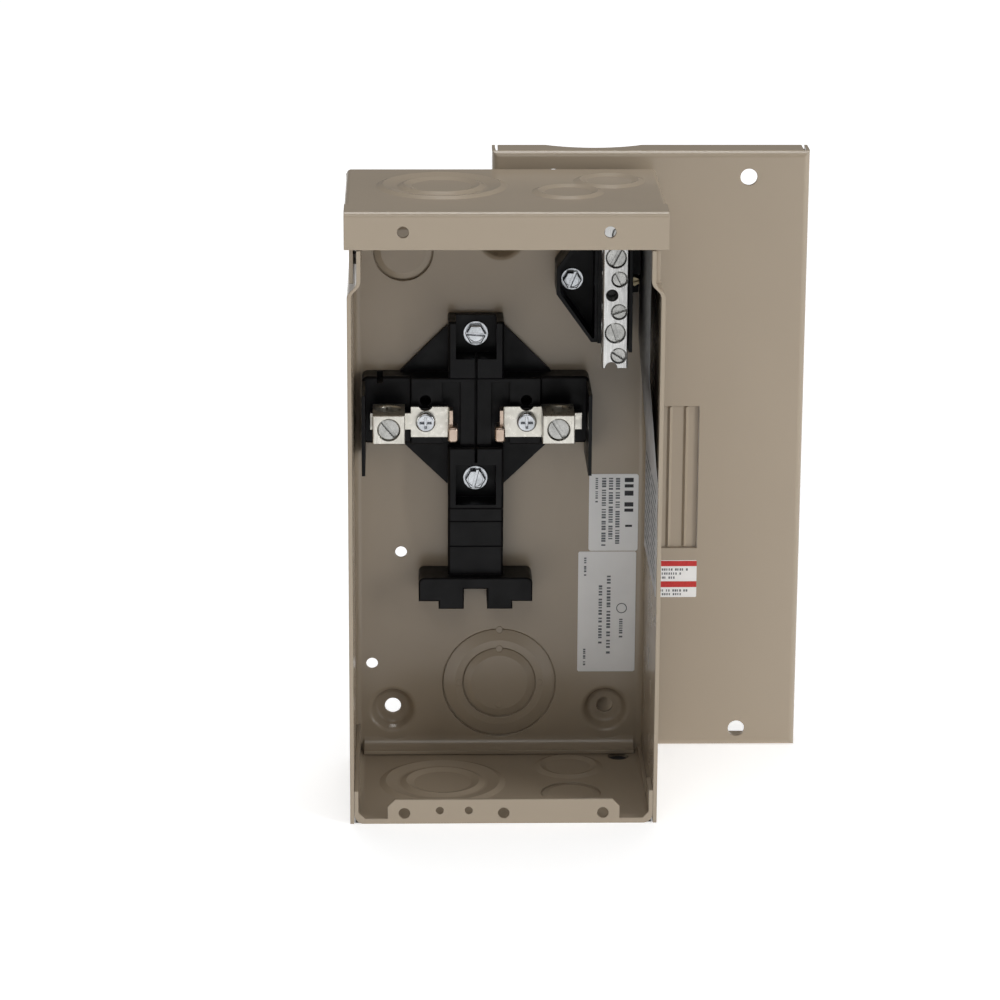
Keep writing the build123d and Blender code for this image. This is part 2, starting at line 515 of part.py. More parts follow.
with BuildPart() as interior_base:
    with BuildSketch(facing(0, BASE_X)):
        Polygon(*mirrored([(11, 112.6), (27.1, 128.2), (27.1, 140), (29, 157.5), (11, 175.5)]),
                align=None)
    extrude(amount=WEB_HEIGHT)
    # Cross arm and the raised platform in its middle
    base_block(ARM_HALF, (ARM_LOW, ARM_HIGH), ARM_END_HEIGHT, 0.8, 2.3)
    base_block(PLATFORM_HALF, (ARM_LOW, ARM_HIGH), PLATFORM_HEIGHT)
    # Screw blocks above and below the arm
    base_block(BLOCK_HALF, (ARM_HIGH, UPPER_BLOCK_HIGH), BLOCK_HEIGHT, 0.8)
    base_block(BLOCK_HALF, (LOWER_BLOCK_LOW, LOWER_BLOCK_HIGH), BLOCK_HEIGHT, 0.8)
    base_slab((-BLOCK_HALF, BLOCK_HALF), (LOWER_BLOCK_HIGH - 3, ARM_LOW + 3), 0, PLATFORM_HEIGHT)
    # Stepped neck down to the breaker rail
    for high, low, height in NECK_STEPS:
        base_block(BLOCK_HALF, (low, high + 1), height, 0.8)
    # Breaker rail: a bar with two lugs and a notch between them
    with BuildSketch(facing(0, BASE_X)) as rail:
        Polygon(*mirrored([(4.5, 65.7), (14.3, 65.7), (14.3, 68.8), (RAIL_HALF, 68.8),
                           (RAIL_HALF, FOOT_TOP)]), align=None)
        fillet(rail.vertices().group_by(Axis.Y)[-1], 2.3)
        with Locations((0, 67)):
            Rectangle(9.0, 13.6, mode=Mode.SUBTRACT)
    extrude(amount=RAIL_HEIGHT)
    chamfer(interior_base.faces().sort_by(Axis.Y)[0].edges(), 0.5)
    # Screw pockets, the upper one open at its top
    base_slab((-POCKET_HALF, POCKET_HALF), (165.4, UPPER_BLOCK_HIGH + 1), FLOOR_HEIGHT,
              BLOCK_HEIGHT + 1, mode=Mode.SUBTRACT)
    base_slab((-POCKET_HALF, POCKET_HALF), (107.7, 123.4), FLOOR_HEIGHT, BLOCK_HEIGHT + 1,
              mode=Mode.SUBTRACT)
    # Groove between the two poles
    base_slab((-0.5, 0.5), (124.5, 167), PLATFORM_HEIGHT - 6, BLOCK_HEIGHT + 1,
              mode=Mode.SUBTRACT)
    # Notch in the upper edge of the left arm
    base_slab((-37.8, -35.6), (ARM_HIGH - 2.4, ARM_HIGH + 1), WEB_HEIGHT, ARM_END_HEIGHT + 1,
              Mode.SUBTRACT)
    for side in (-1, 1):
        # Clearance for the breaker's jaws around the stab, and the seat under the bus bar
        base_slab((side * 5.9, side * 13.0), (ARM_LOW - 1, 155.5), PLATFORM_HEIGHT - 2.5,
                  PLATFORM_HEIGHT + 1, mode=Mode.SUBTRACT)
        seat_height = BUS_HEIGHT - BUS_THICK
        base_slab((side * (BUS_INNER + 3.5), side * (BUS_PLATE_OUTER - 0.8)),
                  (BUS_LOW + 0.8, BUS_HIGH - 0.8), PLATFORM_HEIGHT - 4, seat_height)
        base_slab((side * (BUS_PLATE_OUTER + 2), side * (BUS_OUTER - 0.6)),
                  (TONGUE_LOW + 0.4, TONGUE_HIGH - 0.4), ARM_END_HEIGHT - 1, seat_height)
        # Fin that keeps the lug away from the steel side wall
        base_slab((side * (ARM_HALF - FIN_THICK), side * ARM_HALF), (124.3, ARM_HIGH - 1.6), 0,
                  FIN_HEIGHT)
        drill(facing(PLATFORM_HEIGHT - 8, BASE_X + side * BUS_SCREW_X, SPARE_HOLE_Z), 2.1, 12)
        drill(facing(seat_height - 9, BASE_X + side * BUS_SCREW_X, BUS_SCREW_Z), SMALL_PILOT_R, 10)
    for z in BASE_SCREWS_Z:
        drill(facing(-1, BASE_X, z), SCREW_HOLE_R, FLOOR_HEIGHT + 2)
write(interior_base.part, "interior_base")


# Bus bars: tin-plated strip with a folded stab at its inner end ------------------------
def bus_bar(side):
    """One pole's bus bar: plate, tongue under the lug, upturned flange and folded stab."""
    back = BUS_HEIGHT - BUS_THICK
    plan = Plane(origin=(BASE_X, WALL_Y, BUS_LOW), x_dir=(1, 0, 0), z_dir=(0, 0, 1))
    with BuildPart() as bar:
        # Strip bent up towards the front, its bend rounded inside and out
        with BuildSketch(plan) as strip:
            inner, outer = STAB_X, STAB_X + BUS_THICK
            Polygon((side * BUS_OUTER, -back), (side * inner, -back), (side * inner, -FLANGE_HEIGHT),
                    (side * outer, -FLANGE_HEIGHT), (side * outer, -BUS_HEIGHT),
                    (side * BUS_OUTER, -BUS_HEIGHT), align=None)
            bend = strip.vertices().sort_by_distance((side * inner, -back))[0]
            fillet(bend, BUS_THICK + 0.9)
            bend = strip.vertices().sort_by_distance((side * outer, -BUS_HEIGHT))[0]
            fillet(bend, 0.9)
        extrude(amount=BUS_HIGH - BUS_LOW)
        # The tongue is narrower than the plate
        beyond_plate = (side * BUS_PLATE_OUTER, side * (BUS_OUTER + 1))
        base_slab(beyond_plate, (BUS_LOW - 1, TONGUE_LOW), back - 1, BUS_HEIGHT + 1, Mode.SUBTRACT)
        base_slab(beyond_plate, (TONGUE_HIGH, BUS_HIGH + 1), back - 1, BUS_HEIGHT + 1, Mode.SUBTRACT)
        # Folded stab, rounded at its ends and along its nose
        stab_middle = (BUS_LOW + STAB_TOP) / 2
        with BuildSketch(facing(STAB_HEIGHT, BASE_X + side * STAB_X, stab_middle)):
            RectangleRounded(STAB_WIDTH, STAB_TOP - BUS_LOW, STAB_END_R)
        extrude(amount=BUS_HEIGHT + 1 - STAB_HEIGHT)
        fillet(bar.faces().sort_by(Axis.Y)[0].edges(), STAB_NOSE_R)
        # Scallop that clears the hole above the plate, and the screw hole
        drill(facing(back - 1, BASE_X + side * BUS_SCREW_X, SPARE_HOLE_Z), 2.9, 3)
        drill(facing(back - 1, BASE_X + side * BUS_SCREW_X, BUS_SCREW_Z), 1.9, 3)
    return bar.part


# Line lugs: extruded aluminium blocks with a wire bore and a slotted clamping screw ------
def line_lug(x):
    front_y = WALL_Y - BUS_HEIGHT - LUG_DEPTH
    with BuildPart() as lug:
        slab((x - LUG_WIDTH / 2, x + LUG_WIDTH / 2), (front_y, front_y + LUG_DEPTH),
             (LUG_LOW, LUG_HIGH))
        chamfer(lug.edges().group_by(Axis.Y)[0], 0.3)
        bore = Plane(origin=(x, front_y + LUG_BORE_DEPTH, LUG_LOW - 1))
        drill(bore, LUG_BORE_R, LUG_HIGH - LUG_LOW + 2)
        chamfer(lug.edges().filter_by(GeomType.CIRCLE).group_by(Axis.Z)[-1], 0.5)
        middle = (LUG_LOW + LUG_HIGH) / 2
        entry = Plane(origin=(x, front_y + LUG_BORE_DEPTH, middle), x_dir=(1, 0, 0),
                      z_dir=(0, -1, 0))
        drill(entry.offset(-1), LUG_SCREW_R + THREAD_CLEARANCE, LUG_BORE_DEPTH + 2)
    return lug.part


def slotted_plug_screw(x, z, front_y, radius, length, slot_angle):
    """Headless slotted screw, its outer end at front_y."""
    outer = Plane(origin=(x, front_y, z), x_dir=(1, 0, 0), z_dir=(0, -1, 0))
    with BuildPart() as screw:
        post(outer.offset(-length), radius, length)
        chamfer(screw.edges().filter_by(GeomType.CIRCLE), 0.5)
        with BuildSketch(outer):
            Rectangle(2 * radius + 1, 0.2 * radius + 0.6, rotation=slot_angle)
        extrude(amount=-min(1.6, 0.4 * length), mode=Mode.SUBTRACT)
    return screw.part


lug_middle = (LUG_LOW + LUG_HIGH) / 2
lug_front_y = WALL_Y - BUS_HEIGHT - LUG_DEPTH
for name, side, x_offset, slot in (("left", -1, LUG_CENTRES[0], -50), ("right", 1, LUG_CENTRES[1], -58)):
    write(bus_bar(side), f"{name}_bus_bar")
    lug_x = BASE_X + x_offset
    write(line_lug(lug_x), f"{name}_line_lug")
    write(slotted_plug_screw(lug_x, lug_middle, lug_front_y + LUG_SCREW_SINK, LUG_SCREW_R,
                             LUG_SCREW_LENGTH, slot), f"{name}_line_lug_screw")


# Fasteners -----------------------------------------------------------------------------
def hex_washer_screw(x, z, seat_height, head_r, slot_angle, shank_length):
    """Slotted hex washer head screw, its washer seated at seat_height above the back wall."""
    seat = facing(seat_height, x, z)
    with BuildPart() as screw:
        post(seat, head_r, WASHER_HEIGHT)
        with BuildSketch(seat.offset(WASHER_HEIGHT)):
            RegularPolygon(0.86 * head_r, 6, major_radius=True)
        extrude(amount=HEX_HEAD_HEIGHT - WASHER_HEIGHT)
        chamfer(screw.faces().sort_by(Axis.Y)[0].edges(), 0.4)
        # Shallow dish in the top of the head, and its slot
        drill(seat.offset(HEX_HEAD_HEIGHT - 0.4), 0.6 * head_r, 1)
        with BuildSketch(seat.offset(HEX_HEAD_HEIGHT)):
            Rectangle(2 * head_r, 1.1, rotation=slot_angle)
        extrude(amount=-1.6, mode=Mode.SUBTRACT)
        post(seat.offset(-shank_length), HEX_SHANK_R, shank_length)
    return screw.part


def pan_head_screw(x, z, seat_height, head_r):
    """Phillips pan head screw for a bus bar."""
    seat = facing(seat_height, x, z)
    with BuildPart() as screw:
        post(seat, head_r, PAN_HEAD_HEIGHT)
        fillet(screw.edges().filter_by(GeomType.CIRCLE).sort_by(Axis.Y)[0], 1.0)
        with BuildSketch(seat.offset(PAN_HEAD_HEIGHT)):
            Rectangle(1.2 * head_r, 0.95)
            Rectangle(0.95, 1.2 * head_r)
        extrude(amount=-1.9, mode=Mode.SUBTRACT)
        post(seat.offset(-PAN_HEAD_SHANK), SMALL_SHANK_R, PAN_HEAD_SHANK)
    return screw.part


for name, z, slot in (("upper", BASE_SCREWS_Z[0], -4), ("lower", BASE_SCREWS_Z[1], 76)):
    write(hex_washer_screw(BASE_X, z, FLOOR_HEIGHT, WASHER_R, slot, HEX_SHANK_LENGTH), f"{name}_base_screw")
write(pan_head_screw(BASE_X - BUS_SCREW_X, BUS_SCREW_Z, BUS_HEIGHT, PAN_HEAD_R), "left_bus_screw")
write(pan_head_screw(BASE_X + BUS_SCREW_X, BUS_SCREW_Z, BUS_HEIGHT, PAN_HEAD_R), "right_bus_screw")


# Neutral bar, its insulator and their screws -------------------------------------------
BAR_FRONT_Y = WALL_Y - BAR_HEIGHT
TRAY_HEIGHT = 18.0
CRADLE_HEIGHT = BAR_HEIGHT - BAR_DEPTH
TRAY_LEFT = 20.5
TRAY_RIGHT = 37.1
INSULATOR_LOW = 172.7
INSULATOR_HIGH = 219.8
TRAY_MIDDLE = (INSULATOR_LOW + INSULATOR_HIGH) / 2
TRAY_SIDE_HALF = 5.0
WING_RIGHT = 52.1
TRAY_WALL = 1.5


def tray_outline(inset):
    """Six-sided tray left of the neutral bar, narrowed towards both its ends."""
    left = TRAY_LEFT + inset
    low, high = INSULATOR_LOW + inset, INSULATOR_HIGH - inset
    slope_x = 33.8 + 0.3 * inset
    side_half = TRAY_SIDE_HALF - 0.3 * inset
    right = TRAY_RIGHT - 1.4 * inset
    return [(right, low), (slope_x, low), (left, TRAY_MIDDLE - side_half),
            (left, TRAY_MIDDLE + side_half), (slope_x, high), (right, high)]


with BuildPart() as neutral_insulator:
    with BuildSketch(facing(0)):
        Polygon(*tray_outline(0), align=None)
    extrude(amount=TRAY_HEIGHT)
    with BuildSketch(facing(2.6)):
        Polygon(*tray_outline(TRAY_WALL), align=None)
    extrude(amount=TRAY_HEIGHT, mode=Mode.SUBTRACT)
    # Cradle under the bar, and the wall that shields the bar from the steel side
    wall_left = BAR_X + BAR_HALF + 0.3
    slab((TRAY_RIGHT - 1, wall_left + 1.3), heights(0, CRADLE_HEIGHT),
         (INSULATOR_LOW, INSULATOR_HIGH))
    slab((wall_left, wall_left + 1.3), heights(0, BAR_HEIGHT + 1), (INSULATOR_LOW, INSULATOR_HIGH))
    # Wing towards the side wall, which the bonding screw passes through
    slab((wall_left, WING_RIGHT), heights(0, 9), (190.0, 202.5))
    slab((wall_left, WING_RIGHT), heights(0, CRADLE_HEIGHT), (199.5, INSULATOR_HIGH))
    drill(facing(-1, INSULATOR_SCREW_X, INSULATOR_SCREW_Z), SCREW_HOLE_R, 5)
    drill(facing(-1, BOND_SCREW_X, BOND_SCREW_Z), BOND_SHANK_R + 0.1, 12)
    drill(facing(CRADLE_HEIGHT - 9, BAR_X - SMALL_OFFSET, FIXING_HOLE_Z), SMALL_PILOT_R, 10)
    # Wire windows in the shield wall, opposite the bar's wire holes
    for z in LARGE_SCREWS_Z + SMALL_SCREWS_Z[1:]:
        radius = LARGE_WIRE_R if z in LARGE_SCREWS_Z else SMALL_WIRE_R
        window_y = BAR_FRONT_Y + WIRE_NEAR + radius
        drill(Plane(origin=(wall_left - 1, window_y, z), x_dir=(0, 1, 0), z_dir=(1, 0, 0)),
              radius + 0.4, 4)
write(neutral_insulator.part, "neutral_insulator")

with BuildPart() as neutral_bar:
    slab((BAR_X - BAR_HALF, BAR_X + BAR_HALF), (BAR_FRONT_Y, BAR_FRONT_Y + BAR_DEPTH),
         (BAR_LOW, BAR_HIGH))
    chamfer(neutral_bar.edges().filter_by(Axis.Z), 0.4)
    for screws, screw_r, wire_r, offset, thread in (
        (LARGE_SCREWS_Z, LARGE_SCREW_R, LARGE_WIRE_R, 0, LARGE_THREAD),
        (SMALL_SCREWS_Z, SMALL_SCREW_R, SMALL_WIRE_R, SMALL_OFFSET, SMALL_THREAD),
    ):
        wire_y = BAR_FRONT_Y + WIRE_NEAR + wire_r
        for z in screws:
            drill(Plane(origin=(BAR_X - BAR_HALF - 1, wire_y, z), x_dir=(0, 1, 0), z_dir=(1, 0, 0)),
                  wire_r, 2 * BAR_HALF + 2)
            drill(facing(BAR_HEIGHT - thread, BAR_X + offset, z), screw_r + THREAD_CLEARANCE, thread + 1)
    # Stepped hole for the bar's own fixing screw, and half of a cut hole at the lower end
    fixing_x = BAR_X - SMALL_OFFSET
    drill(facing(CRADLE_HEIGHT - 1, fixing_x, FIXING_HOLE_Z), 1.6, BAR_DEPTH + 2)
    drill(facing(CRADLE_HEIGHT + 3, fixing_x, FIXING_HOLE_Z), SMALL_WIRE_R, BAR_DEPTH)
    drill(facing(CRADLE_HEIGHT - 1, fixing_x, BAR_LOW), SMALL_WIRE_R, BAR_DEPTH + 2)
write(neutral_bar.part, "neutral_bar")

with BuildPart() as neutral_bar_fixing_screw:
    fixing_seat = facing(CRADLE_HEIGHT + 3, fixing_x, FIXING_HOLE_Z)
    post(fixing_seat, 2.15, 1.8)
    with BuildSketch(fixing_seat.offset(1.8)):
        Rectangle(6, 0.7)
    extrude(amount=-0.8, mode=Mode.SUBTRACT)
    post(fixing_seat.offset(-10), SMALL_SHANK_R, 10)
write(neutral_bar_fixing_screw.part, "neutral_bar_fixing_screw")

for number, (z, slot) in enumerate(zip(LARGE_SCREWS_Z, (-72, 62)), start=1):
    write(slotted_plug_screw(BAR_X, z, BAR_FRONT_Y + BAR_SCREW_SINK, LARGE_SCREW_R,
                             BAR_SCREW_LENGTH, slot), f"neutral_large_screw_{number}")
for number, (z, slot) in enumerate(zip(SMALL_SCREWS_Z, (-33, 18, -63, 40)), start=1):
    write(slotted_plug_screw(BAR_X + SMALL_OFFSET, z, BAR_FRONT_Y + BAR_SCREW_SINK, SMALL_SCREW_R,
                             BAR_SCREW_LENGTH, slot), f"neutral_small_screw_{number}")

write(hex_washer_screw(INSULATOR_SCREW_X, INSULATOR_SCREW_Z, 2.6, 4.2, 68, 6.0), "insulator_screw")

with BuildPart() as bonding_screw:
    bond_seat = facing(BOND_HEAD_LOW, BOND_SCREW_X, BOND_SCREW_Z)
    with BuildSketch(bond_seat):
        RegularPolygon(BOND_HEX_R, 6, major_radius=True, rotation=30)
    extrude(amount=BOND_HEAD_HEIGHT)
    chamfer(bonding_screw.faces().sort_by(Axis.Y)[0].edges(), 0.3)
    with BuildSketch(bond_seat.offset(BOND_HEAD_HEIGHT)):
        Rectangle(6, 0.6, rotation=15)
    extrude(amount=-1.0, mode=Mode.SUBTRACT)
    post(bond_seat.offset(-11.5), BOND_SHANK_R, 11.5)
write(bonding_screw.part, "bonding_screw")


# Cover: shallow tray with two twist-outs ------------------------------------------------
cover_face = Plane(origin=(COVER_X, COVER_Y, 0), x_dir=(1, 0, 0), z_dir=(0, -1, 0))
notch_r = (NOTCH_CHORD ** 2 / 4 + NOTCH_RISE ** 2) / (2 * NOTCH_RISE)

with BuildPart() as cover:
    slab((COVER_X - COVER_WIDTH / 2, COVER_X + COVER_WIDTH / 2), (COVER_Y, COVER_Y + COVER_FLANGE),
         (0, COVER_HEIGHT))
    fillet(cover.edges().group_by(Axis.Y)[0], 2.4)
    slab((COVER_X - COVER_WIDTH / 2 + SHEET, COVER_X + COVER_WIDTH / 2 - SHEET),
         (COVER_Y + SHEET, COVER_Y + COVER_FLANGE + 1), (SHEET, COVER_HEIGHT - SHEET),
         mode=Mode.SUBTRACT)
    # Open corners between the four flanges
    for side in (-1, 1):
        for end in (0, COVER_HEIGHT):
            corner_x = COVER_X + side * (COVER_WIDTH / 2 - 1.7)
            slab((corner_x - 0.5, corner_x + 0.5), (COVER_Y + 2.0, COVER_Y + COVER_FLANGE + 1),
                 (end - SHEET - 0.01, end + SHEET + 0.01), mode=Mode.SUBTRACT)
    # Arc notches that clear a conduit locknut at either end
    with BuildSketch(Plane(origin=(COVER_X, 0, -1), x_dir=(1, 0, 0), z_dir=(0, 0, 1))):
        with Locations((NOTCH_X, COVER_Y + COVER_FLANGE - NOTCH_RISE + notch_r)):
            Circle(notch_r)
    extrude(amount=COVER_HEIGHT + 2, mode=Mode.SUBTRACT)
    hole_origin = COVER_Y + 5
    for x in (-FIXING_SPACING / 2, FIXING_SPACING / 2):
        for z in (COVER_HOLE_LOW, COVER_HOLE_LOW + COVER_HOLE_SPACING):
            drill(Plane(origin=(COVER_X + x, hole_origin, z), x_dir=(1, 0, 0), z_dir=(0, -1, 0)),
                  COVER_HOLE_R, 10)
    # Opening that the two twist-outs fill; their ties hold on behind its ends
    slab((COVER_X - TWIST_HALF, COVER_X + TWIST_HALF), (COVER_Y - 1, COVER_Y + SHEET + 1),
         (TWIST_LOW, TWIST_HIGH), mode=Mode.SUBTRACT)
write(cover.part, "cover")


def twist_out(side):
    """Breaker-space blank, sunk behind the cover's face and ribbed along its length."""
    edge = TWIST_HALF - 0.03
    with BuildPart() as blank:
        slab((COVER_X + side * 0.05, COVER_X + side * edge),
             (COVER_Y + TWIST_SINK, COVER_Y + TWIST_SINK + SHEET), (TWIST_LOW + 0.03, TWIST_HIGH - 0.03))
        for x in (8.9, 15.2):
            with BuildSketch(Plane(origin=(COVER_X + side * x, COVER_Y + TWIST_SINK, TWIST_LOW + 0.5))):
                Polygon((-0.9, 0), (0.9, 0), (0, -0.8), align=None)
            extrude(amount=TWIST_HIGH - TWIST_LOW - 1)
        # Ties that hold the blank until it is twisted out
        for z in (TWIST_LOW, TWIST_HIGH):
            tie_x = (COVER_X + side * 8.7, COVER_X + side * 11.7)
            slab(tie_x, (COVER_Y + SHEET, COVER_Y + 2 * SHEET), (z - 1.5, z + 1.5))
    return blank.part


write(twist_out(-1), "left_twist_out")
write(twist_out(1), "right_twist_out")


# Paper labels ---------------------------------------------------------------------------
def label(plane, width, height, corner):
    """Thin label whose back lies on the plane."""
    with BuildPart() as sticker:
        with BuildSketch(plane):
            RectangleRounded(width, height, corner)
        extrude(amount=LABEL_THICK)
    return sticker.part


write(label(facing(0, *UPPER_LABEL_CENTRE), *UPPER_LABEL_SIZE, 1.0), "upper_back_label")
write(label(facing(0, *LOWER_LABEL_CENTRE), *LOWER_LABEL_SIZE, 0.8), "lower_back_label")

# Label sheet in the right side of the box: it hangs from the joggled part of the wall and
# reaches the wall again lower down
with BuildPart() as side_wall_label:
    hung_x = SIDE_HALF - SHEET - SIDE_JOGGLE
    stuck_x = SIDE_HALF - SHEET
    path = [(hung_x, SIDE_LABEL_HIGH), (hung_x, SIDE_LABEL_HUNG), (stuck_x, SIDE_LABEL_STUCK),
            (stuck_x, SIDE_LABEL_LOW)]
    with BuildSketch(Plane(origin=(0, SIDE_LABEL_FRONT, 0), x_dir=(1, 0, 0), z_dir=(0, -1, 0))):
        Polygon(*path, *[(x - LABEL_THICK, z) for x, z in reversed(path)], align=None)
    extrude(amount=-SIDE_LABEL_DEPTH)
write(side_wall_label.part, "side_wall_label")

cover_label_plane = cover_face.shift_origin((COVER_X, COVER_Y, COVER_LABEL_Z))
write(label(cover_label_plane, *COVER_LABEL_SIZE, 0.5), "cover_label")
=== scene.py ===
import math
import random

import bmesh
import bpy
from mathutils import Matrix, Vector


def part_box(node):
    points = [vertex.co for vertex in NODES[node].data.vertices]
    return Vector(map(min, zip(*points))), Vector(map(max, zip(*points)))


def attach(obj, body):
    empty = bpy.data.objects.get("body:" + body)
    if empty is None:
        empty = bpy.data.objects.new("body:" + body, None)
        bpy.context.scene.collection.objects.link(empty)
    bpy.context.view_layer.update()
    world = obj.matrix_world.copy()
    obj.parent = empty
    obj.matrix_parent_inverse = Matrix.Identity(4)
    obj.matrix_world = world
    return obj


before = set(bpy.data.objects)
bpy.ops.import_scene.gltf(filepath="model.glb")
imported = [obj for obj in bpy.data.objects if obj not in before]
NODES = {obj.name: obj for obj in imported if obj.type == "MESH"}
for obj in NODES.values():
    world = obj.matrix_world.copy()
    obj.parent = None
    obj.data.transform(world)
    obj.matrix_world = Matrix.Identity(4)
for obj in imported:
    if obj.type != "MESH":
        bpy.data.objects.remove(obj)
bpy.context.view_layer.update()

# Looks for the open subpanel enclosure and its loose cover. Everything is in metres, in the frame
# of the CAD model: X to the right, Y away from the viewer, Z up, the floor at Z = 0.
# Colours are linear RGB.

MM = 0.001
BEVEL_SAMPLES = 6


# Shader helpers -------------------------------------------------------------------------
class Shader:
    """A material with one Principled shader, and short ways to add textures to it."""

    def __init__(self, name, **constants):
        self.material = bpy.data.materials.new(name)
        self.material.use_nodes = True
        self.tree = self.material.node_tree
        self.bsdf = self.tree.nodes["Principled BSDF"]
        for socket, value in constants.items():
            self.bsdf.inputs[socket.replace("_", " ")].default_value = value
        self.place = self.tree.nodes.new("ShaderNodeTexCoord").outputs["Object"]
        self.normal = None

    def link(self, output, socket):
        self.tree.links.new(output, socket)

    def math(self, operation, first, second=None):
        """Result of a math node, from an output and either another output or a number."""
        node = self.tree.nodes.new("ShaderNodeMath")
        node.operation = operation
        self.link(first, node.inputs[0])
        if isinstance(second, (int, float)):
            node.inputs[1].default_value = second
        elif second is not None:
            self.link(second, node.inputs[1])
        return node.outputs["Value"]

    def axes(self, vector):
        """X, Y and Z of a vector output."""
        node = self.tree.nodes.new("ShaderNodeSeparateXYZ")
        self.link(vector, node.inputs["Vector"])
        return node.outputs

    def geometry(self, output):
        return self.tree.nodes.new("ShaderNodeNewGeometry").outputs[output]

    def stretched(self, scale):
        """Object coordinates scaled along X, Y and Z."""
        mapping = self.tree.nodes.new("ShaderNodeMapping")
        mapping.inputs["Scale"].default_value = scale
        self.link(self.place, mapping.inputs["Vector"])
        return mapping.outputs["Vector"]

    def noise(self, scale, detail=3.0, roughness=0.5, stretch=(1, 1, 1)):
        """Noise from 0 to 1, with about `scale` blobs to the metre."""
        node = self.tree.nodes.new("ShaderNodeTexNoise")
        node.inputs["Scale"].default_value = scale
        node.inputs["Detail"].default_value = detail
        node.inputs["Roughness"].default_value = roughness
        self.link(self.stretched(stretch), node.inputs["Vector"])
        return node.outputs["Fac"]

    def ramp(self, value, low, high, low_at=0.3, high_at=0.7):
        """Value mapped from low_at..high_at to low..high."""
        node = self.tree.nodes.new("ShaderNodeMapRange")
        node.inputs["From Min"].default_value = low_at
        node.inputs["From Max"].default_value = high_at
        node.inputs["To Min"].default_value = low
        node.inputs["To Max"].default_value = high
        self.link(value, node.inputs["Value"])
        return node.outputs["Result"]

    def mix(self, factor, first, second):
        """Colour between two colours or outputs."""
        node = self.tree.nodes.new("ShaderNodeMix")
        node.data_type = "RGBA"
        self.link(factor, node.inputs["Factor"])
        for socket, value in ((node.inputs[6], first), (node.inputs[7], second)):
            if isinstance(value, tuple):
                socket.default_value = (*value, 1)
            else:
                self.link(value, socket)
        return node.outputs[2]

    def soft_edges(self, radius):
        """Rounds the look of sharp edges."""
        node = self.tree.nodes.new("ShaderNodeBevel")
        node.samples = BEVEL_SAMPLES
        node.inputs["Radius"].default_value = radius
        self.normal = node.outputs["Normal"]

    def bump(self, height, distance, strength=1.0):
        """Adds relief of a height output, `distance` deep, to the normal so far."""
        node = self.tree.nodes.new("ShaderNodeBump")
        node.inputs["Distance"].default_value = distance
        node.inputs["Strength"].default_value = strength
        self.link(height, node.inputs["Height"])
        if self.normal is not None:
            self.link(self.normal, node.inputs["Normal"])
        self.normal = node.outputs["Normal"]

    def facing_along(self, axis):
        """1 where the surface faces either way along an axis of the frame, else 0."""
        size = self.math("ABSOLUTE", self.axes(self.geometry("True Normal"))[axis])
        return self.ramp(size, 0, 1, 0.75, 0.95)

    def nearer_than(self, y):
        """1 in front of a plane of constant Y, else 0."""
        return self.ramp(self.axes(self.place)["Y"], 1, 0, y - 0.2 * MM, y + 0.2 * MM)

    def done(self, colour=None, roughness=None):
        """Links what was made to the Principled shader and gives the material."""
        if colour is not None:
            self.link(colour, self.bsdf.inputs["Base Color"])
        if roughness is not None:
            self.link(roughness, self.bsdf.inputs["Roughness"])
        if self.normal is not None:
            self.link(self.normal, self.bsdf.inputs["Normal"])
        return self.material


# Materials ------------------------------------------------------------------------------
STAB_FACE_Y = 17.9 * MM     # the bus bars' copper-coloured stabs lie in front of this
SHEET_SHADE_FROM = 140 * MM   # painted shade: the hanging sheet darkens from pale to dark between these, standing in for the shadow of the lip and wall
SHEET_SHADE_FULL = 165 * MM
ALONG_Z = (1, 1, 0.08)      # stretch of drawn metal's grain
TAN = (0.385, 0.318, 0.238)
TAN_DARK = (0.362, 0.298, 0.222)


def baked_paint(name):
    """Semi-gloss powder paint on sheet steel: fine orange peel over a faint waviness."""
    paint = Shader(name, IOR=1.5)
    paint.soft_edges(0.5 * MM)
    paint.bump(paint.noise(18, 1.0), 0.25 * MM, 0.4)
    paint.bump(paint.noise(1400, 2.0), 0.006 * MM, 0.5)
    tone = paint.ramp(paint.noise(16, 2.0, 0.5), 0, 1, 0.1, 0.9)
    colour = paint.mix(tone, TAN_DARK, TAN)
    return paint.done(colour, paint.ramp(paint.noise(60, 2.0), 0.19, 0.25, 0.1, 0.9))


def moulding(name):
    """Black thermoset with a fine moulded grain."""
    plastic = Shader(name, IOR=1.47, Specular_IOR_Level=0.18)
    plastic.soft_edges(0.3 * MM)
    plastic.bump(plastic.noise(1800, 2.0), 0.015 * MM, 0.7)
    plastic.bump(plastic.noise(120, 2.0), 0.08 * MM, 0.35)
    tone = plastic.ramp(plastic.noise(60, 4.0, 0.6), 0, 1)
    colour = plastic.mix(tone, (0.0025, 0.0025, 0.003), (0.005, 0.005, 0.006))
    return plastic.done(colour, plastic.ramp(plastic.noise(160, 3.0), 0.30, 0.46))


def plated(name, light, dark, grain=(1, 1, 1), rough=(0.22, 0.38), patch=240):
    """Plated or drawn metal: a cloudy tone, and fine lines along the direction of `grain`."""
    metal = Shader(name, Metallic=1.0)
    metal.soft_edges(0.25 * MM)
    lines = metal.noise(1500, 3.0, 0.6, grain)
    metal.bump(lines, 0.02 * MM, 0.6)
    cloud = metal.ramp(metal.noise(patch, 4.0, 0.6), 0, 1)
    colour = metal.mix(cloud, dark, light)
    return metal.done(colour, metal.ramp(lines, *rough))


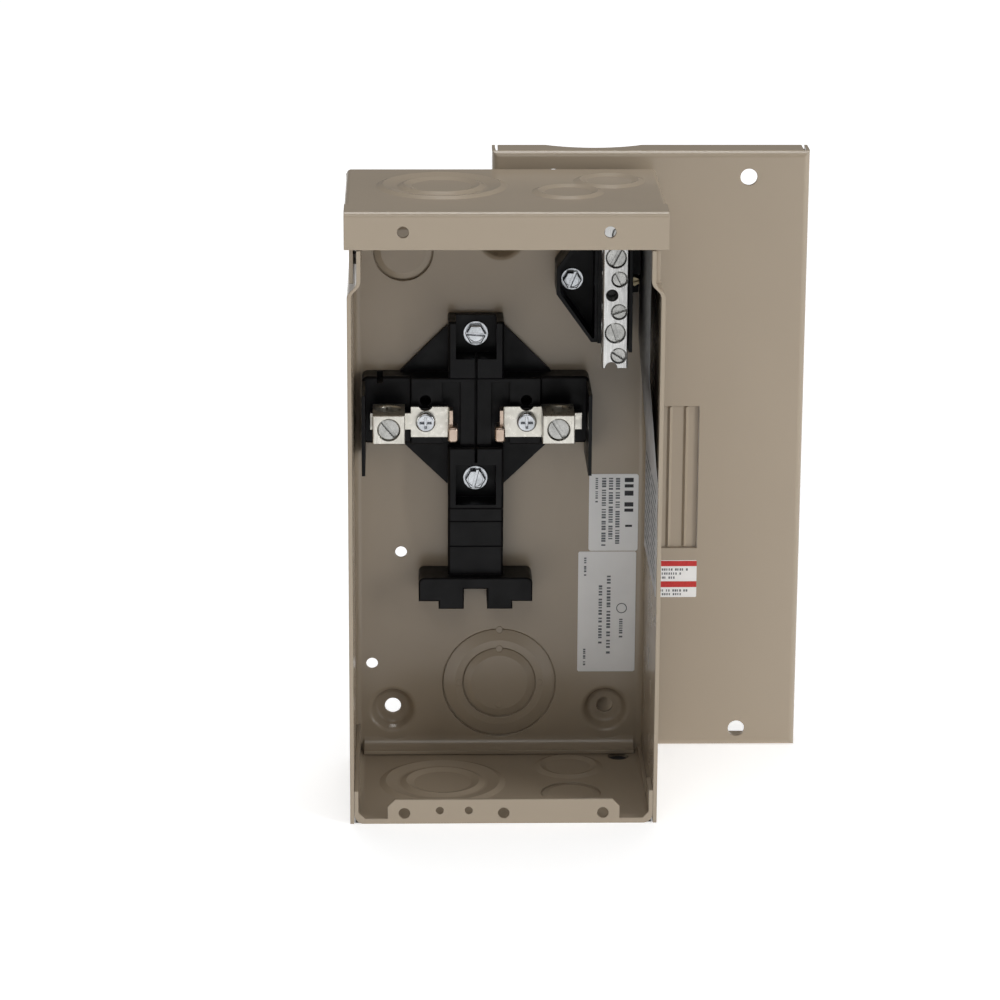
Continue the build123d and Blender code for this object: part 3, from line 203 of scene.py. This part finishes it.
def tinned_copper(name):
    """Tin plate over copper, which shows on the sheared edges."""
    metal = Shader(name, Metallic=1.0)
    metal.soft_edges(0.2 * MM)
    lines = metal.noise(1300, 3.0, 0.6, (0.15, 1, 1))
    metal.bump(lines, 0.02 * MM, 0.5)
    cloud = metal.ramp(metal.noise(200, 4.0, 0.6), 0, 1)
    tin = metal.mix(cloud, (0.62, 0.60, 0.54), (0.72, 0.70, 0.64))
    copper = metal.mix(cloud, (0.50, 0.385, 0.31), (0.62, 0.50, 0.41))
    sheared = metal.mix(metal.facing_along("Z"), tin, copper)
    colour = metal.mix(metal.nearer_than(STAB_FACE_Y), sheared, copper)
    return metal.done(colour, metal.ramp(metal.noise(500, 3.0), 0.24, 0.40))


def coated_paper(name):
    """Slightly glossy white label stock."""
    paper = Shader(name, IOR=1.45)
    paper.bump(paper.noise(2500, 3.0), 0.008 * MM, 0.5)
    tone = paper.ramp(paper.noise(70, 4.0), 0, 1)
    colour = paper.mix(tone, (0.86, 0.86, 0.86), (0.92, 0.92, 0.915))
    return paper.done(colour, paper.ramp(paper.noise(400, 2.0), 0.38, 0.5))


def shaded_wiring_sheet(name):
    """The hanging sheet with painted shade: dark at its top, where the lip and wall shadow it, and
    paper greyed by painted shade lower down.
    """
    sheet = Shader(name, IOR=1.45)
    sheet.bump(sheet.noise(2500, 3.0), 0.008 * MM, 0.5)
    shade_top_mask = sheet.ramp(sheet.axes(sheet.place)["Z"], 0, 1, SHEET_SHADE_FROM, SHEET_SHADE_FULL)
    tone = sheet.ramp(sheet.noise(70, 4.0), 0, 1)
    # painted shade: the paper is greyed well below the white of the other labels
    pale = sheet.mix(tone, (0.50, 0.50, 0.51), (0.58, 0.58, 0.59))
    # painted shadow of the lip and wall on the sheet's top
    dark = sheet.mix(tone, (0.075, 0.075, 0.075), (0.11, 0.11, 0.11))
    colour = sheet.mix(shade_top_mask, pale, dark)
    return sheet.done(colour, sheet.ramp(sheet.noise(400, 2.0), 0.38, 0.5))


def ink(name, light, dark):
    """Printed ink, a little uneven."""
    print_ink = Shader(name, IOR=1.45, Roughness=0.5)
    tone = print_ink.ramp(print_ink.noise(1500, 3.0), 0, 1)
    return print_ink.done(print_ink.mix(tone, dark, light))


PAINT = baked_paint("tan_paint")
BLACK = moulding("black_moulding")
ZINC = plated("zinc_plate", (0.62, 0.64, 0.67), (0.40, 0.42, 0.44), rough=(0.16, 0.30))
SCREW_STEEL = plated("screw_steel", (0.52, 0.52, 0.50), (0.32, 0.32, 0.31), rough=(0.20, 0.34))
# painted shade: a darkened copy of plated steel for the fixing screw, which sits deep in its hole
SHADED_STEEL = plated("shaded_steel", (0.20, 0.20, 0.19), (0.10, 0.10, 0.10), rough=(0.35, 0.5))
LUG = plated("tinned_aluminium", (0.74, 0.72, 0.66), (0.60, 0.58, 0.52),
             grain=ALONG_Z, rough=(0.24, 0.42), patch=160)
BAR = plated("drawn_aluminium", (0.72, 0.72, 0.71), (0.56, 0.56, 0.55),
             grain=ALONG_Z, rough=(0.22, 0.40), patch=140)
BRASS = plated("brass", (0.80, 0.70, 0.48), (0.60, 0.50, 0.32), rough=(0.35, 0.5))
TINNED = tinned_copper("tinned_copper")
PAPER = coated_paper("label_paper")
# the hanging sheet's dark top and greyed paper are painted shade
SHADED_WIRING_SHEET = shaded_wiring_sheet("shaded_wiring_sheet")
BLACK_INK = ink("black_ink", (0.035, 0.035, 0.04), (0.015, 0.015, 0.018))
GREY_INK = ink("grey_ink", (0.16, 0.17, 0.19), (0.10, 0.11, 0.12))
RED_INK = ink("red_ink", (0.62, 0.035, 0.03), (0.50, 0.02, 0.02))

FINISHES = {
    PAINT: ("box_wrapper", "top_cap", "bottom_pan", "cover", "left_twist_out", "right_twist_out"),
    BLACK: ("interior_base", "neutral_insulator"),
    ZINC: ("upper_base_screw", "lower_base_screw", "insulator_screw", "left_bus_screw",
           "right_bus_screw"),
    TINNED: ("left_bus_bar", "right_bus_bar"),
    LUG: ("left_line_lug", "right_line_lug"),
    BAR: ("neutral_bar",),
    SCREW_STEEL: ("left_line_lug_screw", "right_line_lug_screw", "neutral_large_screw_1",
                  "neutral_large_screw_2", "neutral_small_screw_1", "neutral_small_screw_2",
                  "neutral_small_screw_3", "neutral_small_screw_4"),
    # painted shade on the deep-set fixing screw
    SHADED_STEEL: ("neutral_bar_fixing_screw",),
    BRASS: ("bonding_screw",),
    PAPER: ("upper_back_label", "lower_back_label", "cover_label"),
    SHADED_WIRING_SHEET: ("side_wall_label",),
}
for finish, nodes in FINISHES.items():
    for node in nodes:
        slots = NODES[node].material_slots
        for index in range(len(slots)):
            slots[index].material = finish


# Generic printing on the labels ----------------------------------------------------------
INK_THICK = 0.03 * MM
RING_STEPS = 32
WORD_LETTERS = (2, 7)       # fewest and most letters in a word
LETTER_FILL = (0.45, 0.8)   # width of a letter's block, by its pitch
WORD_GAP = 0.8              # gap after a word, by the letters' pitch


class Print:
    """Flat marks on a label, gathered into one mesh.

    The label's own directions are `across` and `up`, and marks are placed by fractions of its size
    from its lower left corner. `corners` are the ends of its box in the frame.
    """

    def __init__(self, corners, across, up, finish, name, body):
        low, high = (Vector(corner) for corner in corners)
        self.across, self.up = Vector(across), Vector(up)
        self.out = self.across.cross(self.up)
        middle = (low + high) / 2
        size = high - low
        self.width = abs(size.dot(self.across))
        self.height = abs(size.dot(self.up))
        face = middle + self.out * abs(size.dot(self.out)) / 2
        self.corner = face - self.across * self.width / 2 - self.up * self.height / 2
        self.mesh = bmesh.new()
        self.finish, self.name, self.body = finish, name, body

    def point(self, u, v, lift):
        """Place at fractions u across and v up, lifted off the label's face."""
        along = self.across * u * self.width
        return self.corner + along + self.up * v * self.height + self.out * lift

    def bar(self, u0, u1, v0, v1):
        """Thin block of ink between two pairs of fractions."""
        ring = [(u0, v0), (u1, v0), (u1, v1), (u0, v1)]
        low = [self.mesh.verts.new(self.point(u, v, 0)) for u, v in ring]
        high = [self.mesh.verts.new(self.point(u, v, INK_THICK)) for u, v in ring]
        self.mesh.faces.new(high)
        for i in range(4):
            j = (i + 1) % 4
            self.mesh.faces.new((low[i], low[j], high[j], high[i]))

    def words(self, u0, u1, v0, v1, seed, letter=0.9 * MM, upright=False):
        """A line of greeked words: letter-sized blocks with gaps, running along u or along v."""
        rng = random.Random(seed)
        length = (v1 - v0) * self.height if upright else (u1 - u0) * self.width
        at = 0.0
        while at < length:
            for _ in range(rng.randint(*WORD_LETTERS)):
                stroke = letter * rng.uniform(*LETTER_FILL)
                if at + stroke > length:
                    break
                start, end = at / length, (at + stroke) / length
                if upright:
                    self.bar(u0, u1, v1 - (v1 - v0) * end, v1 - (v1 - v0) * start)
                else:
                    self.bar(u0 + (u1 - u0) * start, u0 + (u1 - u0) * end, v0, v1)
                at += letter
            at += WORD_GAP * letter

    def ring(self, u, v, radius, width):
        """Flat ring around a point, `width` wide inside its radius."""
        inner, outer = [], []
        for i in range(RING_STEPS):
            turn = 2 * math.pi * i / RING_STEPS
            for ring, r in ((inner, radius - width), (outer, radius)):
                du = r * math.cos(turn) / self.width
                dv = r * math.sin(turn) / self.height
                ring.append(self.mesh.verts.new(self.point(u + du, v + dv, INK_THICK)))
        for i in range(RING_STEPS):
            j = (i + 1) % RING_STEPS
            self.mesh.faces.new((inner[i], outer[i], outer[j], inner[j]))

    def finish_piece(self):
        """Turns the gathered marks into one object that rides on the label's body."""
        data = bpy.data.meshes.new(self.name)
        self.mesh.to_mesh(data)
        self.mesh.free()
        data.materials.append(self.finish)
        piece = bpy.data.objects.new(self.name, data)
        bpy.context.collection.objects.link(piece)
        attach(piece, self.body)


BOX, COVER = "enclosure", "removable_cover"
RIGHT, TO_FRONT, UP = (1, 0, 0), (0, -1, 0), (0, 0, 1)

# Each call below gives fractions of the label, a seed for the words and the pitch of the letters.

# Upper label in the box: two bold groups, three fine lines and a small one, running downwards
upper_bold = Print(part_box("upper_back_label"), RIGHT, UP, BLACK_INK, "upper_label_bold", BOX)
upper_bold.words(0.72, 0.90, 0.50, 0.95, 3, 2.6 * MM, upright=True)
upper_bold.words(0.74, 0.88, 0.28, 0.34, 5, 1.6 * MM, upright=True)
upper_bold.finish_piece()
upper_fine = Print(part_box("upper_back_label"), RIGHT, UP, GREY_INK, "upper_label_print", BOX)
for line, (u, bottom) in enumerate(((0.54, 0.06), (0.40, 0.10), (0.26, 0.06))):
    upper_fine.words(u, u + 0.085, bottom, 0.95, 11 + line, 1.0 * MM, upright=True)
upper_fine.words(0.13, 0.18, 0.62, 0.95, 17, 0.8 * MM, upright=True)
upper_fine.finish_piece()

# Lower label: a reference number, two lines of print, a plain ring and another number
lower_print = Print(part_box("lower_back_label"), RIGHT, UP, GREY_INK, "lower_label_print", BOX)
lower_print.words(0.10, 0.14, 0.80, 0.95, 21, 0.9 * MM, upright=True)
lower_print.words(0.50, 0.565, 0.14, 0.80, 22, 1.25 * MM, upright=True)
lower_print.words(0.36, 0.42, 0.22, 0.72, 23, 1.15 * MM, upright=True)
lower_print.words(0.72, 0.78, 0.28, 0.44, 24, 0.9 * MM, upright=True)
lower_print.words(0.10, 0.14, 0.05, 0.19, 25, 0.9 * MM, upright=True)
lower_print.ring(0.76, 0.53, 2.1 * MM, 0.35 * MM)
lower_print.finish_piece()

# Wiring sheet on the right wall: rows of fine print on its lower, flat part
SHEET_THICK = 0.15 * MM
SHEET_FLAT_TOP = 130 * MM
sheet_low, sheet_high = (Vector(corner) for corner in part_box("side_wall_label"))
sheet_flat = ((sheet_high.x - SHEET_THICK, sheet_low.y, sheet_low.z),
              (sheet_high.x, sheet_high.y, SHEET_FLAT_TOP))
side_print = Print(sheet_flat, TO_FRONT, UP, GREY_INK, "side_label_print", BOX)
SHEET_ROWS = 11
SHEET_ROW_PITCH, SHEET_ROW_HEIGHT = 0.08, 0.03
for row in range(SHEET_ROWS):
    v = 0.90 - SHEET_ROW_PITCH * row
    for left, right, seed in ((0.06, 0.46, 40), (0.54, 0.94, 80)):
        side_print.words(left, right, v, v + SHEET_ROW_HEIGHT, seed + row, 1.2 * MM)
side_print.finish_piece()

# Cover label: two red bands with fine print under each
cover_red = Print(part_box("cover_label"), RIGHT, UP, RED_INK, "cover_label_bands", COVER)
cover_red.bar(0.0, 1.0, 0.84, 0.985)
cover_red.bar(0.0, 1.0, 0.27, 0.43)
cover_red.finish_piece()
cover_fine = Print(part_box("cover_label"), RIGHT, UP, GREY_INK, "cover_label_print", COVER)
for line, v in enumerate((0.72, 0.61, 0.50, 0.15, 0.05)):
    cover_fine.words(0.05, 0.92 - 0.06 * (line % 3), v, v + 0.06, 60 + line, 0.9 * MM)
cover_fine.finish_piece()


# Studio ----------------------------------------------------------------------------------
FLOOR_HALF = 7.0
FLOOR_Y = 2.0               # middle of the floor, so that it reaches far behind the part
FLOOR_GLOW = 0.52
FAR_START, FAR_END = 0.3, 1.5               # the glow rises between these, to whiten the far floor
FAR_GLOW = (1.5, 1.5, 1.5)
SHADOW_PATCH_HALF_X = 56 * MM  # painted shadow: a dark, glowless patch under the box and towards the cover
SHADOW_PATCH_HALF_Y = 46 * MM
SHADOW_PATCH_Y = 9 * MM
SHADOW_PATCH_EDGE = 0.5 * MM
SKY_LOW = 0.05              # strength in front of the part and beside it, and behind it
SKY_HIGH = 0.12
SKY_BACK = 0.8              # Y of the direction in which the sky is at its strongest
MIDDLE = (0.02, 0.0, 0.12)  # what the lights point at


def studio_floor():
    """Plain pale floor that glows a little, like a lit white table, with a painted shadow under
    the box.
    """
    data = bpy.data.meshes.new("studio_floor")
    mesh = bmesh.new()
    bmesh.ops.create_grid(mesh, x_segments=8, y_segments=8, size=FLOOR_HALF)
    mesh.to_mesh(data)
    mesh.free()
    surface = Shader("pale_floor", Roughness=0.9, Specular_IOR_Level=0.1)
    tone = surface.ramp(surface.noise(3, 2.0), 0, 1)
    colour = surface.mix(tone, (0.86, 0.86, 0.86), (0.88, 0.88, 0.88))
    place = surface.axes(surface.geometry("Position"))
    within = []
    for axis, middle, half in (("X", 0, SHADOW_PATCH_HALF_X), ("Y", SHADOW_PATCH_Y, SHADOW_PATCH_HALF_Y)):
        distance = surface.math("ABSOLUTE", surface.math("SUBTRACT", place[axis], middle))
        within.append(surface.ramp(distance, 1, 0, half - SHADOW_PATCH_EDGE, half + SHADOW_PATCH_EDGE))
    in_painted_shadow = surface.math("MULTIPLY", *within)
    far = surface.ramp(place["Y"], 0, 1, FAR_START, FAR_END)
    # painted shadow: no glow under the box and towards the cover
    glow = surface.mix(in_painted_shadow, surface.mix(far, (1.0, 1.0, 1.0), FAR_GLOW), (0.0, 0.0, 0.0))
    surface.link(glow, surface.bsdf.inputs["Emission Color"])
    surface.bsdf.inputs["Emission Strength"].default_value = FLOOR_GLOW
    # painted shadow: near-black floor colour under the box
    data.materials.append(surface.done(surface.mix(in_painted_shadow, colour, (0.05, 0.05, 0.05))))
    floor = bpy.data.objects.new("studio_floor", data)
    floor.location.y = FLOOR_Y
    bpy.context.collection.objects.link(floor)


def area_light(name, place, width, height, power):
    """Rectangular light in watts that points at the middle of the part."""
    data = bpy.data.lights.new(name, "AREA")
    data.shape = "RECTANGLE"
    data.size, data.size_y = width, height
    data.energy = power
    light = bpy.data.objects.new(name, data)
    light.location = place
    light.rotation_euler = (Vector(MIDDLE) - Vector(place)).to_track_quat("-Z", "Y").to_euler()
    bpy.context.collection.objects.link(light)


def studio_sky():
    """Dim white surroundings, a little stronger behind the part than in front of it."""
    world = bpy.data.worlds.new("studio")
    world.use_nodes = True
    tree = world.node_tree
    view = tree.nodes.new("ShaderNodeTexCoord")
    split = tree.nodes.new("ShaderNodeSeparateXYZ")
    level = tree.nodes.new("ShaderNodeMapRange")
    level.inputs["From Max"].default_value = SKY_BACK
    level.inputs["To Min"].default_value = SKY_LOW
    level.inputs["To Max"].default_value = SKY_HIGH
    tree.links.new(view.outputs["Generated"], split.inputs["Vector"])
    tree.links.new(split.outputs["Y"], level.inputs["Value"])
    background = tree.nodes["Background"]
    tree.links.new(level.outputs["Result"], background.inputs["Strength"])
    background.inputs["Color"].default_value = (1, 1, 1, 1)
    bpy.context.scene.world = world


studio_floor()
area_light("front_key", (-0.15, -0.95, 0.85), 0.7, 0.5, 2.0)
area_light("right_soft", (2.2, -1.5, 0.7), 0.8, 1.6, 33)
area_light("left_soft", (-2.4, -0.9, 0.8), 0.7, 1.6, 3)
area_light("top_soft", (0.0, 0.25, 2.25), 0.9, 2.0, 28)
studio_sky()
bpy.context.scene.view_settings.view_transform = "Standard"


# Camera ----------------------------------------------------------------------------------
CAMERA_PLACE = (-0.036155, -1.363235, 0.518867)
CAMERA_PITCH = math.radians(16.46)      # looking down
CAMERA_YAW = math.radians(1.479)        # towards +X
CAMERA_ROLL = math.radians(0.278)
CAMERA_LENS = 135.3                     # mm on a 36 mm sensor
CAMERA_LEVEL = math.pi / 2              # an unturned camera looks straight down

camera_data = bpy.data.cameras.new("camera")
camera_data.lens = CAMERA_LENS
camera = bpy.data.objects.new("camera", camera_data)
turn = (Matrix.Rotation(-CAMERA_YAW, 4, "Z")
        @ Matrix.Rotation(CAMERA_LEVEL - CAMERA_PITCH, 4, "X")
        @ Matrix.Rotation(CAMERA_ROLL, 4, "Z"))
camera.matrix_world = Matrix.Translation(CAMERA_PLACE) @ turn
bpy.context.collection.objects.link(camera)
bpy.context.scene.camera = camera
